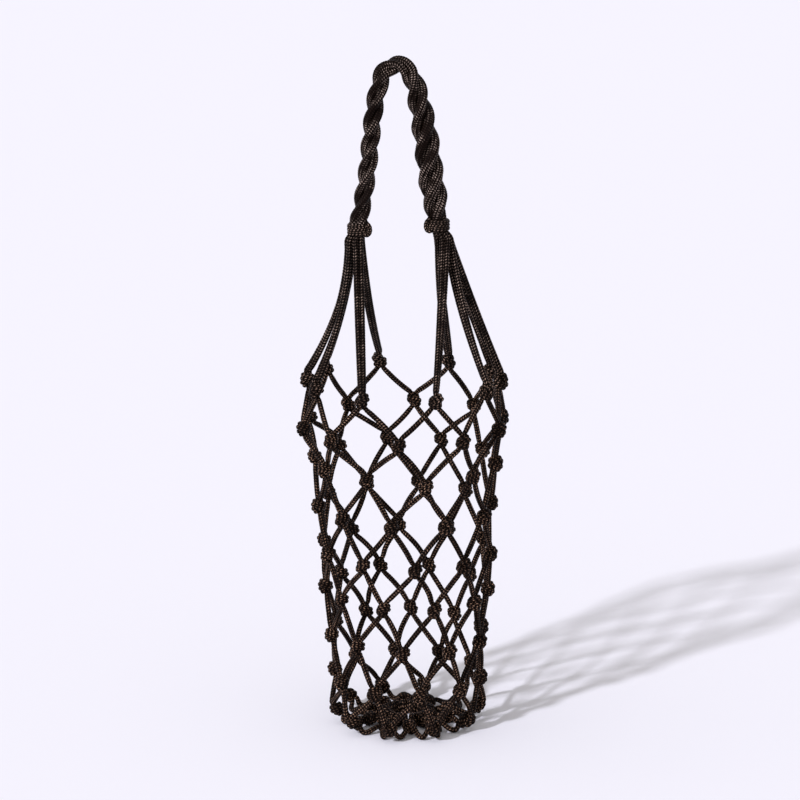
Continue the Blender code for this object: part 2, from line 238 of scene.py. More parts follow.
# Braid colours: of the creases and of the stitches, whose step is painted shade, and of the glints, which are
# painted highlights; then the share of glints in the dullest patches
NET_BRAID = ((0.0009, 0.0003, 0.0001), (0.0045, 0.0015, 0.0008), (0.39, 0.282, 0.23), 0.3)
HANDLE_BRAID = ((0.002, 0.0008, 0.0004), (0.0068, 0.0028, 0.0017), (0.46, 0.35, 0.30), 0.05)
WHIPPING_BRAID = ((0.002, 0.001, 0.0006), (0.007, 0.0036, 0.0022), (0.36, 0.25, 0.2), 0.3)
# Colour of the painted glints low on the net, and the heights between which they turn to the upper glint colour
NET_LOW_GLINT = (0.37, 0.222, 0.150)
GLINT_TURNS_OVER = (150.0 * MM, 195.0 * MM)
# Relief height from which the painted highlights show on the stitch crowns
GLINTS_FROM_HEIGHT = 0.72
# Relief heights over which the painted shade goes from the crease colour to the stitch colour
STITCH_COLOUR_OVER = (0.15, 0.85)
ROUGHNESS_OVER = (0.3, 0.9)
ROUGHNESS = (0.6, 0.36)
SPECULAR_LEVEL = 0.04
# Noise spots and patches that break up the painted highlights
SPOT_SCALE = 620.0
SPOT_DETAIL = 2.0
SPOTS_OVER = (0.34, 0.66)
SPOT_LEAST = 0.25
PATCH_SCALE = 125.0
PATCH_DETAIL = 1.0
PATCHES_OVER = (0.4, 0.6)
FILAMENTS_PER_STITCH = 14
FILAMENT_HEIGHT = 0.12
BUMP_STRENGTH = 0.7
BUMP_DEPTH = 0.15 * MM

# Light and floor
FLOOR_SIZE = 200.0
BACKGROUND = (0.913, 0.896, 1.0, 1.0)
FLOOR_COLOUR = (0.87, 0.855, 0.94, 1.0)
SUN_TOWARDS = (0.58, 0.62, -0.53)
SUN_STRENGTH = 2.75
SUN_COLOUR = (0.93, 0.94, 1.0)
SUN_SPREAD = math.radians(4.0)
AMBIENT_FROM = (-0.55, -0.50, 0.67)
AMBIENT_LEVELS = (0.0, 0.88)
AMBIENT_COLOUR = (1.0, 0.985, 0.95, 1.0)

# Camera
CAMERA_AIM = (-0.001536, 0.0, 0.162)
CAMERA_DISTANCE = 1.4
CAMERA_RISE = math.radians(13.3)
CAMERA_ROLL = math.radians(0.8)
SENSOR_WIDTH = 36.0
FOCAL_LENGTH_PIXELS = 2916.7
PICTURE_WIDTH_PIXELS = 800.0


def unit(vector):
    """The vector scaled to length one."""
    return vector / np.linalg.norm(vector)


def eased(share):
    """A share from 0 to 1 with a smooth start and end: 3 s^2 - 2 s^3."""
    return share * share * (3 - 2 * share)


def run_lengths(points):
    """Distance along a path at each of its points: the running sum of its steps."""
    return np.concatenate(([0.0], np.cumsum(np.linalg.norm(np.diff(points, axis=0), axis=1))))


def at_even_steps(points, count):
    """The same path with count points at even distances, read off by linear interpolation."""
    lengths = run_lengths(points)
    wanted = np.linspace(0.0, lengths[-1], count)
    return np.column_stack([np.interp(wanted, lengths, points[:, axis]) for axis in range(points.shape[1])])


def smooth_through(points, step):
    """Dense points on a smooth curve through the given ones.

    Each span is a cubic Hermite piece, whose tangents are the mean of the slopes on both sides, weighted by
    the lengths of the spans.
    """
    points = np.asarray(points, dtype=float)
    knots = run_lengths(points)
    spans = np.diff(knots)
    slopes = np.diff(points, axis=0) / spans[:, None]
    inner = (slopes[:-1] * spans[1:, None] + slopes[1:] * spans[:-1, None]) / (spans[:-1] + spans[1:])[:, None]
    tangents = np.vstack((slopes[:1], inner, slopes[-1:]))
    place = np.linspace(0.0, knots[-1], max(int(knots[-1] / step) + 1, 2))
    span = np.clip(np.searchsorted(knots, place, side="right") - 1, 0, len(spans) - 1)
    t = ((place - knots[span]) / spans[span])[:, None]
    width = spans[span][:, None]
    return (
        (2 * t**3 - 3 * t**2 + 1) * points[span]
        + (t**3 - 2 * t**2 + t) * width * tangents[span]
        + (3 * t**2 - 2 * t**3) * points[span + 1]
        + (t**3 - t**2) * width * tangents[span + 1]
    )


def softened(points, passes):
    """The path with each point moved half way to the mean of its neighbours in each pass, its two ends kept."""
    points = points.copy()
    for _ in range(passes):
        points[1:-1] += 0.5 * ((points[:-2] + points[2:]) / 2 - points[1:-1])
    return points


def headings(points):
    """Unit tangents along a path: the slope between each point's two neighbours."""
    tangents = np.gradient(points, axis=0)
    return tangents / np.linalg.norm(tangents, axis=1)[:, None]


def carried_frames(points, normal=None):
    """Tangents, normals and binormals along a path, each normal the last one with its tangent part taken out."""
    tangents = headings(points)
    if normal is None:
        normal = unit(np.cross(tangents[0], UP if abs(tangents[0][2]) < STEEP else BACK))
    normals = np.empty_like(points)
    for index, tangent in enumerate(tangents):
        normal = normal - tangent * normal.dot(tangent)
        normal /= math.sqrt(normal.dot(normal))
        normals[index] = normal
    return tangents, normals, np.cross(tangents, normals)


def relaxed(cords, tops, bottoms, contact, length, steps):
    """Pull cords tight: shorten them step by step between pinned ends while no two of them may come closer.

    cords is an array of cords, points and coordinates in millimetres. Each step softens the bends, pulls each
    segment to its share of the length and pushes apart the points that are nearer than the contact distance.
    The wanted length comes down from the loose one, and the ends are drawn to their places, over the first steps.
    """
    count, points = cords.shape[:2]
    order = np.arange(points)
    along = np.tile(np.abs(order[:, None] - order[None, :]), (count, count))
    same_cord = np.kron(np.eye(count), np.ones((points, points))) > 0
    start = np.linalg.norm(np.diff(cords, axis=1), axis=2).sum(1).mean()
    for step in range(steps):
        tightening = min(step / (TIGHTENED_AFTER * steps), 1.0)
        segment = (start + tightening * (length - start)) / (points - 1)
        apart = max(2, round(OWN_CORD_CLEARANCE * contact / segment))
        may_touch = ~(same_cord & (along < apart))
        pin = max(min(step / (PINNED_AFTER * steps), 1.0), LEAST_PIN)
        cords[:, 1:-1] += BEND_SOFTENING * ((cords[:, :-2] + cords[:, 2:]) / 2 - cords[:, 1:-1])
        for _ in range(LENGTH_REPEATS):
            run = cords[:, 1:] - cords[:, :-1]
            pull = LENGTH_PULL * run * (1.0 - segment / np.linalg.norm(run, axis=2)[..., None])
            cords[:, :-1] += pull
            cords[:, 1:] -= pull
            cords[:, 0] += (tops - cords[:, 0]) * pin
            cords[:, -1] += (bottoms - cords[:, -1]) * pin
        for _ in range(CONTACT_REPEATS):
            flat = cords.reshape(-1, 3)
            between = flat[:, None] - flat[None]
            distance = np.sqrt((between**2).sum(2)) + 1e-9
            press = np.clip(contact - distance, 0.0, None) * may_touch
            push = (between / distance[..., None] * press[..., None]).sum(1)
            cords += CONTACT_PUSH * push.reshape(cords.shape)
    return cords


def loose_overhand():
    """A loose overhand knot from top to bottom: x = t^3 - 3t, y = t^4 - 4t^2 + 2, z = t^5 - 10t, each stretched."""
    t = np.linspace(OVERHAND_ENDS_AT, -OVERHAND_ENDS_AT, OVERHAND_POINTS)
    x, y, z = OVERHAND_STRETCH
    return np.column_stack((x * (t**3 - 3 * t), y * (t**4 - 4 * t**2 + 2), z * (t**5 - 10 * t)))


def side_by_side(path, half):
    """Two paths at half a cord to each side of one, on a frame turned evenly so that both ends lie along x."""
    _, normals, across = carried_frames(path, RIGHT)
    turn = np.linspace(0.0, math.atan2(across[-1][0], normals[-1][0]), len(path))[:, None]
    side = normals * np.cos(turn) + across * np.sin(turn)
    return np.stack((path - side * half, path + side * half))


def tied_knots():
    """The two knots that the net needs: one for cords that come in spread, one for a pair side by side.

    A single thick cord is tied and tightened first, then laid double and tightened again as two cords. The body of
    the knot is then moved to the middle, and the move fades out towards the cords' ends.
    """
    single = at_even_steps(loose_overhand(), THICK_CORD_POINTS)[None]
    ends = np.array(((0.0, 0.0, THICK_CORD_REACH),))
    single = relaxed(single, ends, -ends, THICK_CORD_CONTACT, THICK_CORD_LENGTH, THICK_CORD_STEPS)[0]
    knots = []
    for spread, length in ((KNOT_SPREAD, KNOT_CORD_LENGTH), (KNOT_PAIR_SPREAD, KNOT_CORD_LENGTH_PAIRED)):
        pair = side_by_side(at_even_steps(single, KNOT_POINTS), DOUBLED_HALF)
        tops = np.array(((-spread, 0.0, KNOT_REACH), (spread, 0.0, KNOT_REACH)))
        bottoms = np.array(((-KNOT_SPREAD, 0.0, -KNOT_REACH), (KNOT_SPREAD, 0.0, -KNOT_REACH)))
        pair = relaxed(pair, tops, bottoms, KNOT_CONTACT, length, KNOT_STEPS)
        body = np.abs(pair[..., 2]) < KNOT_KEPT_WITHIN
        fade = np.clip((KNOT_REACH - np.abs(pair[..., 2])) / (KNOT_REACH - KNOT_KEPT_WITHIN), 0.0, 1.0)
        knots.append(pair - fade[..., None] * pair[body].mean(0))
    return knots


def row_height(row, angle):
    """Height of a knot: most rows hang a little lower on the right."""
    if row == BASE_ROW:
        return BASE_ROW_Z
    return LOWEST_WALL_ROW_Z + sum(WALL_ROW_SPACINGS[row:]) - ROW_LEANS[row] * math.sin(angle)


def row_radius(row):
    """Distance of a row's knots from the net's axis."""
    return BASE_ROW_RADIUS if row == BASE_ROW else WALL_ROW_RADII[row]


def knot_angle(row, column):
    """Angle of a knot round the net: even columns, with a drift that grows with the row and with its square.

    In the first rows the knots are drawn towards the two bundles, by the sine of twice the angle from the plane
    of the bundles' gathering, and those at the back turn by the fourth power of the sine of half that angle.
    """
    drift = DRIFT_PER_ROW * row + DRIFT_GROWTH * min(row, WALL_ROWS - 1) ** 2
    even = FIRST_COLUMN_ANGLE + column * 2 * math.pi / COLUMNS - drift
    if row >= len(GATHER_PER_ROW):
        return even
    from_plane = (even - GATHER_PLANE_ANGLE + math.pi) % (2 * math.pi) - math.pi
    behind = (0.5 - 0.5 * math.cos(from_plane)) ** 2
    return even + GATHER_PER_ROW[row] * math.sin(2 * from_plane) + BACK_TURN_PER_ROW[row] * behind


def column_at(row, column, side):
    """Where a strand's knot in a row sits: its own column, or in odd rows half a column to its side."""
    return (column + row % 2 * side / 2) % COLUMNS


def level_directions(angle):
    """Unit vectors outwards and to the right at an angle round the net: (sin, -cos, 0) and (cos, sin, 0)."""
    return np.array((math.sin(angle), -math.cos(angle), 0.0)), np.array((math.cos(angle), math.sin(angle), 0.0))


def knot_frame(row, column):
    """A knot's centre, with unit vectors to its right, out of the net and onwards down the net."""
    angle = knot_angle(row, column)
    radial, right = level_directions(angle)
    tilt = {BASE_ROW: math.pi / 2, BASE_ROW - 1: BASE_CORNER_TILT}.get(row, WALL_TILT)
    onward = -math.cos(tilt) * UP - math.sin(tilt) * radial
    outward = math.cos(tilt) * radial - math.sin(tilt) * UP
    shift = ROW_SHIFTS[row] * RIGHT if row < BASE_ROW else 0.0
    aside, up = KNOTS_OFF_PLACE.get((row, column), (0.0, 0.0))
    shift = shift + aside * right + up * UP
    return row_radius(row) * radial + row_height(row, angle) * UP + shift, right, outward, onward


def knot_path(row, column, side, knots, choice):
    """One cord's way through a knot: the tied knot's path, cut to the knot and set in the net's own directions."""
    centre, right, outward, onward = knot_frame(row, column)
    path = knots[1 if row == 0 else 0][int(side > 0)] * MM
    path = path[np.abs(path[:, 2]) < KNOT_KEPT_WITHIN * MM]
    size = KNOT_SIZES[0] + choice[0] * (KNOT_SIZES[1] - KNOT_SIZES[0])
    turn = KNOT_TURNS * (2.0 * choice[1] - 1.0)
    x, y, z = size * path.T
    x, y = x * math.cos(turn) - y * math.sin(turn), x * math.sin(turn) + y * math.cos(turn)
    return centre + x[:, None] * right - y[:, None] * outward - z[:, None] * onward


def bundle_slot(group, pair, leads):
    """A cord's place in its bundle, as inward and backward distances: eight cords round two."""
    if (pair, leads) in BUNDLE_INNER_CORDS:
        reach, place = BUNDLE_INNER_REACH, BUNDLE_INNER_CORDS[pair, leads]
    else:
        reach, place = BUNDLE_OUTER_REACH, -(BUNDLE_OUTER_START + BUNDLE_OUTER_CORDS.index((pair, leads)))
    angle = place * 2 * math.pi / len(BUNDLE_OUTER_CORDS) + BUNDLE_TURN[group]
    return reach * np.array((math.cos(angle), math.sin(angle)))


def hanger_group(column):
    """Which bundle a column hangs from, and its number in that bundle from the front."""
    angle = (knot_angle(0, column) + math.pi) % (2 * math.pi) - math.pi
    return ("left" if angle < 0 else "right"), int(abs(angle) / (2 * math.pi / COLUMNS))


def hanger_path(column, side, end):
    """One cord from its place in the bundle down to its knot: the pair spreads out and turns."""
    group, pair = hanger_group(column)
    inward = INWARD[group]
    leads = side == inward
    slot = bundle_slot(group, pair, leads)
    partner = bundle_slot(group, pair, not leads)
    start_middle = (slot + partner) / 2
    start_offset = (slot - partner) / 2
    _, right, _, _ = knot_frame(0, column)
    end = end - side * CORD_RADIUS * right
    end_middle = np.array((inward * (end[0] - NECK_X[group]), end[1]))
    end_offset = side * np.array((inward * right[0], right[1]))
    start_angle = math.atan2(start_offset[1], start_offset[0])
    turn = math.atan2(end_offset[1], end_offset[0]) - start_angle
    turn = (turn + math.pi) % (2 * math.pi) - math.pi
    start_half = np.linalg.norm(start_offset)
    lean = HANGER_LEANS[group][pair]
    paired_half = min(start_half, CORD_RADIUS)
    points = []
    for height, x, squeeze in (
        (BUNDLE_TOP_Z, BUNDLE_X[group], WRAP_SQUEEZE),
        (WHIPPING_MIDDLE_Z[group] - WRAP_HOLDS_BELOW, BUNDLE_X[group], WRAP_SQUEEZE),
        (BUNDLE_NECK_Z, NECK_X[group], 1.0),
    ):
        points.append((x + inward * squeeze * slot[0], squeeze * slot[1], height))
    for station in HANGER_STATIONS:
        spread = station * (lean + (1.0 - lean) * station)
        half = start_half + min(station / HANGER_PAIRED_AT, 1.0) * (paired_half - start_half)
        angle = start_angle + station * turn
        middle = start_middle * (1.0 - spread) + spread * end_middle
        place = middle + half * np.array((math.cos(angle), math.sin(angle)))
        height = BUNDLE_NECK_Z + station * (end[2] - BUNDLE_NECK_Z)
        points.append((NECK_X[group] + inward * place[0], place[1], height))
    return points


def hitch_path(column, side):
    """A cord's end on the base ring: under the ring, up its inner side, over it and into the bight outside."""
    radial, right = level_directions(knot_angle(BASE_ROW, column + side / 2))
    return [
        (BASE_RING_RADIUS + out * MM) * radial - side * beside * MM * right + height * MM * UP
        for out, beside, height in HITCH_STATIONS
    ]


def strand_path(column, side, knots, choices):
    """A whole net cord from its bundle to the base ring, with a tied knot in every row.

    The spans between are straight lines, bowed out sideways by half a sine wave, and the last one before the base
    also stands out a little and sinks to the ground.
    """
    sections = []
    for row in range(WALL_ROWS + 1):
        place = column_at(row, column, side)
        sections.append(knot_path(row, place, -side if row % 2 else side, knots, choices[row, int(2 * place)]))
    sections.append(hitch_path(column, side))
    path = hanger_path(column, side, sections[0][0])
    path.extend(sections[0])
    for row, (before, after) in enumerate(zip(sections, sections[1:])):
        _, right, outward, _ = knot_frame(row, column_at(row, column, side))
        choice = choices[row, 2 * column + (side > 0)]
        bow = SPAN_BOW * (2.0 * choice[2] - 1.0)
        if LOW_SPANS_FROM_ROW <= row < WALL_ROWS - 1:
            bow += LOW_SPAN_BOW * (-side if row % 2 else side)
        bow = bow * right
        turns_under = row == WALL_ROWS - 1
        if turns_under:
            bow += (BASE_SLACK[0] + choice[0] * (BASE_SLACK[1] - BASE_SLACK[0])) * unit(outward * (1.0, 1.0, 0.0))
        for share in SPAN_STATIONS:
            swing = math.sin(math.pi * share)
            place = before[-1] + share * (after[0] - before[-1]) + swing * bow
            if turns_under:
                place[2] += swing * (BASE_CORD_Z - place[2])
            path.append(place)
        path.extend(after)
    return softened(smooth_through(path, RING_STEP), STRAND_SOFTENING)


def strand_radius(column, side, path):
    """Thickness along a net cord: squeezed in its knots and in the neck of its bundle."""
    nearest = np.full(len(path), np.inf)
    for row in range(WALL_ROWS + 1):
        centre = knot_frame(row, column_at(row, column, side))[0]
        nearest = np.minimum(nearest, np.linalg.norm(path - centre, axis=1))
    free = np.clip((nearest - KNOT_SQUEEZE_WITHIN) / (KNOT_SQUEEZE_ENDS_AT - KNOT_SQUEEZE_WITHIN), 0.0, 1.0)
    radius = KNOT_CORD_RADIUS + free * (CORD_RADIUS - KNOT_CORD_RADIUS)
    neck = np.clip((path[:, 2] - BUNDLE_FREE_Z) / (BUNDLE_NECK_Z - BUNDLE_FREE_Z), 0.0, 1.0)
    return radius + neck * (NECK_CORD_RADIUS - radius)


def sheath_relief(sides, rings):
    """Height of the braided sheath on a grid round and along the cord, from 0 in a crease to 1 on a stitch.

    The stitches of a column all slant one way and those of the next column the other way, so that they meet in
    chevrons: the sine of the distance along the cord, shifted across the column, rounded off at the creases.
    """
    round_cord = np.arange(sides) / SIDES_PER_COLUMN
    across = round_cord % 1.0 - 0.5
    lean = np.where(np.floor(round_cord) % 2 == 0, 1.0, -1.0)
    along = np.arange(rings)[:, None] / RINGS_PER_STITCH
    stitch = np.abs(np.sin(math.pi * (along + lean * across * STITCH_SLANT)))
    crown = 1.0 - COLUMN_CREASE * (2.0 * np.abs(across)) ** 2
    return stitch**STITCH_FULLNESS * crown


def pressed_on_ground(vertices):
    """Vertices that would reach under the ground are pressed into a thin layer on it, on an exponential curve."""
    height = vertices[..., 2]
    low = height < GROUND_CUSHION
    vertices[..., 2] = np.where(low, GROUND_CUSHION * np.exp(np.minimum(height / GROUND_CUSHION - 1.0, 0.0)), height)
    return vertices


def tube_mesh(name, vertices, stitches):
    """A closed mesh from rings of vertices, with a cap at both ends and a UV map of columns and stitches."""
    rings, sides = vertices.shape[:2]
    ring = np.arange(rings - 1)[:, None]
    side = np.arange(sides)[None, :]
    beside = (side + 1) % sides
    quads = np.stack(np.broadcast_arrays(
        ring * sides + side, ring * sides + beside, (ring + 1) * sides + beside, (ring + 1) * sides + side
    ), axis=-1).reshape(-1)
    caps = np.concatenate((np.arange(sides)[::-1], (rings - 1) * sides + np.arange(sides)))
    starts = np.concatenate((np.arange(len(quads) // 4) * 4, len(quads) + np.array((0, sides))))
    u = np.stack(np.broadcast_arrays(side, side + 1, side + 1, side + 0 * ring), axis=-1) / SIDES_PER_COLUMN
    v = np.stack(np.broadcast_arrays(ring + 0 * side, ring, ring + 1, ring + 1), axis=-1) * stitches / (rings - 1)
    cap_u = np.tile(np.arange(sides) / SIDES_PER_COLUMN, 2)
    cap_v = np.repeat((0.0, stitches), sides)
    uv = np.column_stack((np.concatenate((u.reshape(-1), cap_u)), np.concatenate((v.reshape(-1), cap_v))))
    mesh = bpy.data.meshes.new(name)
    mesh.vertices.add(rings * sides)
    mesh.vertices.foreach_set("co", vertices.reshape(-1).astype(np.float32))
    mesh.loops.add(len(quads) + len(caps))
    mesh.loops.foreach_set("vertex_index", np.concatenate((quads, caps)).astype(np.int32))
    mesh.polygons.add(len(starts))
    mesh.polygons.foreach_set("loop_start", starts.astype(np.int32))
    mesh.uv_layers.new(name=BRAID_UV).data.foreach_set("uv", uv.reshape(-1).astype(np.float32))
    mesh.update(calc_edges=True)
    mesh.validate()
    mesh.shade_smooth()
    return mesh


def braided_cord(name, path, radius, finish, on_ground=False):
    """A cord with its braided sheath: rings round the path, pushed out by the sheath's relief.

    Each ring is a circle in the plane across the path, and the first and last few shrink on an ellipse.
    """
    rings = len(path)
    sides = SHEATH_COLUMNS * SIDES_PER_COLUMN
    _, normals, across = carried_frames(path)
    angle = np.arange(sides) * 2 * math.pi / sides
    end = np.minimum(np.arange(rings), np.arange(rings)[::-1])
    rounding = np.sqrt(1.0 - (1.0 - np.minimum(end / END_ROUNDED_RINGS, 1.0)) ** 2 * END_ROUNDING)
    core = np.broadcast_to(radius, (rings,)) - SHEATH_SINKS * STITCH_RELIEF
    reach = (core[:, None] + STITCH_RELIEF * sheath_relief(sides, rings)) * rounding[:, None]
    spokes = np.cos(angle)[None, :, None] * normals[:, None] + np.sin(angle)[None, :, None] * across[:, None]
    vertices = path[:, None] + reach[..., None] * spokes
    if on_ground:
        vertices = pressed_on_ground(vertices)
    piece = bpy.data.objects.new(name, tube_mesh(name, vertices, (rings - 1) / RINGS_PER_STITCH))
    piece.data.materials.append(finish)
    bpy.context.scene.collection.objects.link(piece)
    return piece


def cord_finish(name, dark, light, glint, dullest, low_glint=None):
    """Satin braid: dark creases, stitches a little lighter, and small pale glints on the crowns of the stitches.

    The dark creases against the lighter stitch crowns are painted shade, and the glints are painted highlights in the
    base colour. The painted glints fade out to the dullest share in soft noise patches some stitches wide, and where
    a low glint colour is given, they turn to it towards the foot of the net.
    """
    finish = bpy.data.materials.new(name)
    finish.use_nodes = True
    nodes, links = finish.node_tree.nodes, finish.node_tree.links
    shader = nodes["Principled BSDF"]
    uv = nodes.new("ShaderNodeUVMap")
    uv.uv_map = BRAID_UV
    parts = nodes.new("ShaderNodeSeparateXYZ")
    links.new(uv.outputs["UV"], parts.inputs[0])
    coordinates = nodes.new("ShaderNodeTexCoord")

    def maths(operation, first, second=None):
        node = nodes.new("ShaderNodeMath")
        node.operation = operation
        for socket, value in zip(node.inputs, (first, second)):
            if isinstance(value, (int, float)):
                socket.default_value = value
            elif value is not None:
                links.new(value, socket)
        return node.outputs[0]

    def ranged(value, low, high, to_low, to_high):
        node = nodes.new("ShaderNodeMapRange")
        node.interpolation_type = "SMOOTHSTEP"
        for socket, number in zip(node.inputs[1:5], (low, high, to_low, to_high)):
            socket.default_value = number
        links.new(value, node.inputs[0])
        return node.outputs[0]

    def blended(share, first, second):
        node = nodes.new("ShaderNodeMix")
        node.data_type = "RGBA"
        links.new(share, node.inputs[0])
        for socket, colour in zip(node.inputs[6:8], (first, second)):
            if isinstance(colour, tuple):
                socket.default_value = (*colour, 1.0)
            else:
                links.new(colour, socket)
        return node.outputs[2]

    def noise(scale, detail):
        node = nodes.new("ShaderNodeTexNoise")
        node.inputs["Scale"].default_value = scale
        node.inputs["Detail"].default_value = detail
        links.new(coordinates.outputs["Object"], node.inputs["Vector"])
        return node.outputs["Fac"]

    across = maths("SUBTRACT", maths("FRACT", parts.outputs["X"]), 0.5)
    lean = maths("SUBTRACT", 1.0, maths("MULTIPLY", maths("MODULO", maths("FLOOR", parts.outputs["X"]), 2.0), 2.0))
    shifted = maths("ADD", parts.outputs["Y"], maths("MULTIPLY", maths("MULTIPLY", across, lean), STITCH_SLANT))
    stitch = maths("ABSOLUTE", maths("SINE", maths("MULTIPLY", shifted, math.pi)))
    filaments = maths("SINE", maths("MULTIPLY", shifted, FILAMENTS_PER_STITCH * math.pi))
    crown = maths("SUBTRACT", 1.0, maths("MULTIPLY", maths("MULTIPLY", across, across), 2.0))
    height = maths("MULTIPLY", stitch, crown)
    spotted = ranged(noise(SPOT_SCALE, SPOT_DETAIL), *SPOTS_OVER, SPOT_LEAST, 1.0)
    lively = ranged(noise(PATCH_SCALE, PATCH_DETAIL), *PATCHES_OVER, dullest, 1.0)
    # Painted shade: the base colour runs from the crease colour to the stitch colour with the relief height, darkest
    # in the creases between stitches and at the column edges
    body = blended(ranged(height, *STITCH_COLOUR_OVER, 0.0, 1.0), dark, light)
    # The painted highlights turn to the low glint colour towards the foot of the net
    if low_glint:
        place = nodes.new("ShaderNodeSeparateXYZ")
        links.new(coordinates.outputs["Object"], place.inputs[0])
        glint = blended(ranged(place.outputs["Z"], *GLINT_TURNS_OVER, 0.0, 1.0), low_glint, glint)
    # Painted highlights: the pale glint colour is mixed into the base colour on the stitch crowns, broken up by noise
    # spots and patches
    painted_glint_share = maths("MULTIPLY", maths("MULTIPLY", ranged(height, GLINTS_FROM_HEIGHT, 1.0, 0.0, 1.0), spotted), lively)
    links.new(blended(painted_glint_share, body, glint), shader.inputs["Base Color"])
    bump = nodes.new("ShaderNodeBump")
    bump.inputs["Strength"].default_value = BUMP_STRENGTH
    bump.inputs["Distance"].default_value = BUMP_DEPTH
    links.new(maths("ADD", height, maths("MULTIPLY", filaments, FILAMENT_HEIGHT)), bump.inputs["Height"])
    links.new(bump.outputs["Normal"], shader.inputs["Normal"])
    links.new(ranged(height, *ROUGHNESS_OVER, *ROUGHNESS), shader.inputs["Roughness"])
    shader.inputs["Specular IOR Level"].default_value = SPECULAR_LEVEL
    return finish


def ply_share(x):
    """How far the rope has grown from slim to full at a place along the arch."""
    return eased(np.clip((x - ROPE_GROWS_FROM_X) / (ROPE_GROWS_TO_X - ROPE_GROWS_FROM_X), 0.0, 1.0))


def rope_line():
    """Even points along the middle of the rope, their distances, its outward directions and its twist."""
    arch = np.array([(x, 0.0, z) for x, z in HANDLE_ARCH])
    line = smooth_through(arch, ARCH_STEP)
    count = int(run_lengths(line)[-1] / HANDLE_RING_STEP) + 1
    line = at_even_steps(line, count)
    run = run_lengths(line)
    pitch = PITCH_LEFT + (PITCH_RIGHT - PITCH_LEFT) * ply_share(line[:, 0])
    step = np.diff(run)
    twist = TWIST_START + 2 * math.pi * np.concatenate(([0.0], np.cumsum(step / ((pitch[1:] + pitch[:-1]) / 2))))
    return line, run, np.cross(BACK, headings(line)), twist


def handle_places(share):
    """Places of the rope's cords in its turning section: three plies of three cords, then of six, and a core.

    Returns two arrays of complex numbers, one for the cords from the left bundle, one for those from the right.
    """
    rope = ROPE_SLIM + (ROPE_FULL - ROPE_SLIM) * share
    ply_radius = PLY_RADIUS_SHARE * rope
    middle = rope / 2 - ply_radius
    ring = ply_radius - ROPE_CORD_RADIUS
    through, tails = [], []
    for ply in range(PLIES):
        heading = np.exp(1j * 2 * math.pi * ply / PLIES)
        for place in range(CORDS_PER_PLY):
            corner = 2 * math.pi * place / CORDS_PER_PLY
            between = corner + math.pi / CORDS_PER_PLY
            through.append(heading * (middle + ring * np.exp(1j * corner)))
            tails.append(heading * (middle + ring * share * np.exp(1j * between)))
    through.append(CORE_OFFSET * np.ones_like(share, dtype=complex))
    tails.append(-CORE_OFFSET * np.ones_like(share, dtype=complex))
    return np.array(through), np.array(tails)


def left_slots_for(places, twist):
    """The left bundle's slot nearest to each cord's place, each given once, turned back into the rope's section."""
    slots = [bundle_slot("left", pair, leads) for pair in range(COLUMNS // 2) for leads in (True, False)]
    turned_back = ROPE_END_SQUEEZE * np.exp(-1j * twist)
    free = [(-slot[0] + 1j * slot[1]) * turned_back for slot in slots]
    chosen = []
    for place in sorted(range(len(places)), key=lambda index: -abs(places[index])):
        best = min(free, key=lambda slot: abs(slot - places[place]))
        free.remove(best)
        chosen.append((place, best))
    return np.array([slot for _, slot in sorted(chosen)])


def handle_cords(finish):
    """The rope handle: ten cords from the left bundle run right over, ten from the right one end at the top."""
    line, run, outward, twist = rope_line()
    share = ply_share(line[:, 0])
    through, tails = handle_places(share)
    near_left = eased(np.clip(1.0 - run / ROPE_GATHERS_OVER["left"], 0.0, 1.0))
    near_right = eased(np.clip(1.0 - (run[-1] - run) / ROPE_GATHERS_OVER["right"], 0.0, 1.0))
    left_slots = left_slots_for(through[:, 0], twist[0])
    both = np.concatenate((through[:, -1], tails[:, -1]))
    squeeze = ROPE_END_REACH / np.abs(both).max()
    for kind, places in (("handle_cord", through), ("handle_tail", tails)):
        for index, place in enumerate(places):
            if kind == "handle_cord":
                place = place + near_left * (left_slots[index] - place)
            place = place + near_right * (squeeze * place - place)
            spot = place * np.exp(1j * twist)
            path = line + spot.real[:, None] * outward + spot.imag[:, None] * BACK
            if kind == "handle_tail":
                path = path[share > TAILS_START_AT_SHARE]
            path = softened(smooth_through(path[::HANDLE_STATION_STEP], HANDLE_RING_STEP), HANDLE_SOFTENING)
            piece = braided_cord(f"{kind}_{index + 1:02d}", path, ROPE_CORD_RADIUS, finish)
            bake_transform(piece)
    for ply in range(PLIES):
        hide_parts(f"handle_ply_{ply + 1}")


def net_cords(finish):
    """The twenty cords of the net, each from its bundle to the base ring.

    Three random numbers for each row and half column choose a knot's size and turn, and a span's bow and slack.
    """
    knots = tied_knots()
    choices = np.random.default_rng(SEED).random((WALL_ROWS + 1, 2 * COLUMNS, 3))
    for column in range(COLUMNS):
        for side, word in ((-1, "left"), (1, "right")):
            name = f"net_cord_{column + 1:02d}_{word}"
            path = strand_path(column, side, knots, choices)
            radius = strand_radius(column, side, path)
            piece = braided_cord(f"braided_{name}", path, radius, finish, on_ground=True)
            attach(piece, "net")
            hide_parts(name)


def base_ring(finish):
    """The ring of cord in the middle of the base, a closed turn of the same braid."""
    turn = np.linspace(0.0, 2 * math.pi, int(2 * math.pi * BASE_RING_RADIUS / STITCH_PITCH) * RINGS_PER_STITCH + 1)
    path = np.column_stack((np.sin(turn), -np.cos(turn), 0 * turn)) * BASE_RING_RADIUS + BASE_RING_Z * UP
    piece = braided_cord("braided_base_ring", path, CORD_RADIUS, finish)
    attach(piece, "net")
    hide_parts("base_ring")


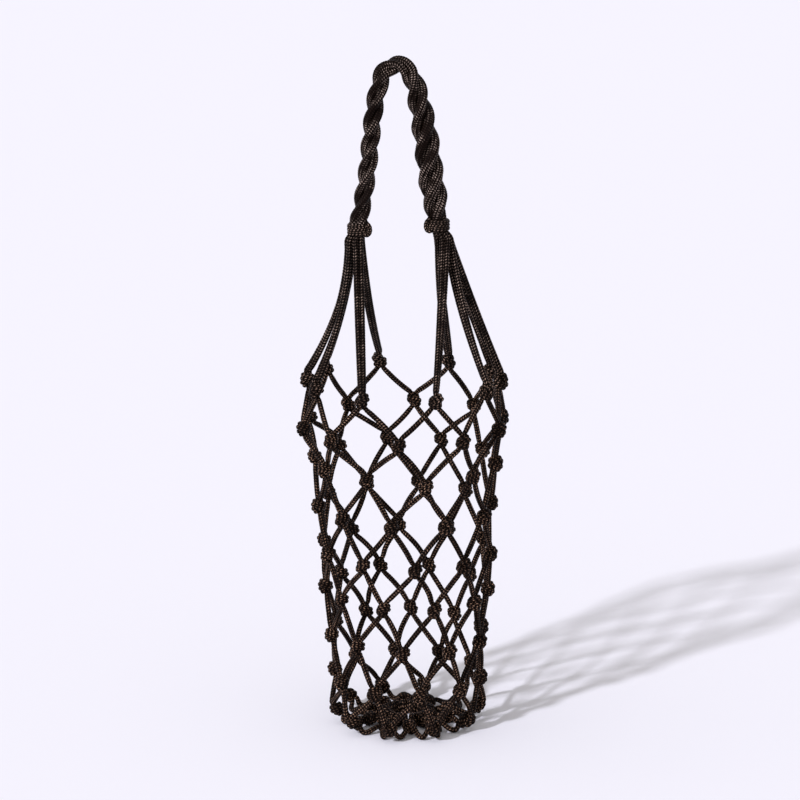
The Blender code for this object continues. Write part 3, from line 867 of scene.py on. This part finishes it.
def whipping(group, finish):
    """A short cord wound round a bundle as a helix, then led into a small bight that stands off on the inner side."""
    inward = INWARD[group]
    radius = WRAP_RADIUS[group]
    turn = np.linspace(0.0, WRAP_TURNS * 2 * math.pi, WRAP_POINTS)
    climb = turn / (WRAP_TURNS * 2 * math.pi) - 0.5
    angle = WRAP_START - turn
    coil = np.column_stack((
        inward * radius * np.cos(angle),
        radius * np.sin(angle),
        WRAP_RISE * climb + WRAP_SLANT * np.cos(angle),
    ))
    bight = np.array([(inward * (radius + out * MM), depth * MM, rise * MM) for out, depth, rise in WRAP_BIGHT])
    path = smooth_through(np.vstack((coil, bight)), RING_STEP)
    path = softened(path, WRAP_SOFTENING) + np.array((BUNDLE_X[group], 0.0, WHIPPING_MIDDLE_Z[group]))
    piece = braided_cord(f"wound_{group}_whipping", path, WRAP_CORD_RADIUS, finish)
    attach(piece, "net")
    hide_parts(f"{group}_whipping")


def floor_and_backdrop():
    """A wide matt floor, pale enough to run into the background."""
    bpy.ops.mesh.primitive_plane_add(size=FLOOR_SIZE, location=(0.0, 0.0, 0.0))
    floor = bpy.context.object
    floor.name = "floor"
    finish = bpy.data.materials.new("pale_floor")
    finish.use_nodes = True
    shader = finish.node_tree.nodes["Principled BSDF"]
    shader.inputs["Base Color"].default_value = FLOOR_COLOUR
    shader.inputs["Roughness"].default_value = 1.0
    shader.inputs["Specular IOR Level"].default_value = 0.0
    floor.data.materials.append(finish)


def world_light():
    """Soft light, brightest from the upper left in front, on a straight ramp in the cosine to that direction.

    Camera, glossy and transmission rays see an even near white instead.
    """
    world = bpy.data.worlds.new("studio")
    bpy.context.scene.world = world
    world.use_nodes = True
    nodes, links = world.node_tree.nodes, world.node_tree.links
    direction = nodes.new("ShaderNodeTexCoord")
    facing = nodes.new("ShaderNodeVectorMath")
    facing.operation = "DOT_PRODUCT"
    facing.inputs[1].default_value = AMBIENT_FROM
    links.new(direction.outputs["Generated"], facing.inputs[0])
    level = nodes.new("ShaderNodeMapRange")
    level.inputs["From Min"].default_value = -1.0
    level.inputs["To Min"].default_value = AMBIENT_LEVELS[0]
    level.inputs["To Max"].default_value = AMBIENT_LEVELS[1]
    links.new(facing.outputs["Value"], level.inputs["Value"])
    soft = nodes["Background"]
    soft.inputs["Color"].default_value = AMBIENT_COLOUR
    links.new(level.outputs["Result"], soft.inputs["Strength"])
    seen = nodes.new("ShaderNodeBackground")
    seen.inputs["Color"].default_value = BACKGROUND
    seen.inputs["Strength"].default_value = 1.0
    rays = nodes.new("ShaderNodeLightPath")
    mix = nodes.new("ShaderNodeMixShader")
    sees = rays.outputs["Is Camera Ray"]
    for kind in ("Is Glossy Ray", "Is Transmission Ray"):
        either = nodes.new("ShaderNodeMath")
        either.operation = "MAXIMUM"
        links.new(sees, either.inputs[0])
        links.new(rays.outputs[kind], either.inputs[1])
        sees = either.outputs[0]
    links.new(sees, mix.inputs["Fac"])
    links.new(soft.outputs[0], mix.inputs[1])
    links.new(seen.outputs[0], mix.inputs[2])
    links.new(mix.outputs[0], nodes["World Output"].inputs["Surface"])


def key_light():
    """A far lamp of even light from the upper left in front, with soft-edged shadows."""
    light = bpy.data.lights.new("key_light", "SUN")
    light.energy = SUN_STRENGTH
    light.angle = SUN_SPREAD
    light.color = SUN_COLOUR
    holder = bpy.data.objects.new("key_light", light)
    holder.rotation_euler = Vector(SUN_TOWARDS).to_track_quat("-Z", "Y").to_euler()
    bpy.context.scene.collection.objects.link(holder)


def photo_camera():
    """The camera at the photograph's distance, height and slight roll."""
    aim = Vector(CAMERA_AIM)
    camera = bpy.data.cameras.new("camera")
    camera.sensor_width = SENSOR_WIDTH
    camera.lens = SENSOR_WIDTH * FOCAL_LENGTH_PIXELS / PICTURE_WIDTH_PIXELS
    holder = bpy.data.objects.new("camera", camera)
    holder.location = aim + CAMERA_DISTANCE * Vector((0.0, -math.cos(CAMERA_RISE), math.sin(CAMERA_RISE)))
    look = (aim - holder.location).normalized().to_track_quat("-Z", "Y").to_matrix()
    holder.rotation_euler = (look @ Matrix.Rotation(-CAMERA_ROLL, 3, "Z")).to_euler()
    bpy.context.scene.collection.objects.link(holder)
    bpy.context.scene.camera = holder


photo_camera()
world_light()
key_light()
floor_and_backdrop()

net_finish = cord_finish("net_braid", *NET_BRAID, low_glint=NET_LOW_GLINT)
handle_finish = cord_finish("handle_braid", *HANDLE_BRAID)
whipping_finish = cord_finish("whipping_braid", *WHIPPING_BRAID)
net_cords(net_finish)
base_ring(net_finish)
handle_cords(handle_finish)
for bundle in BUNDLE_X:
    whipping(bundle, whipping_finish)

bpy.context.scene.view_settings.view_transform = "Standard"
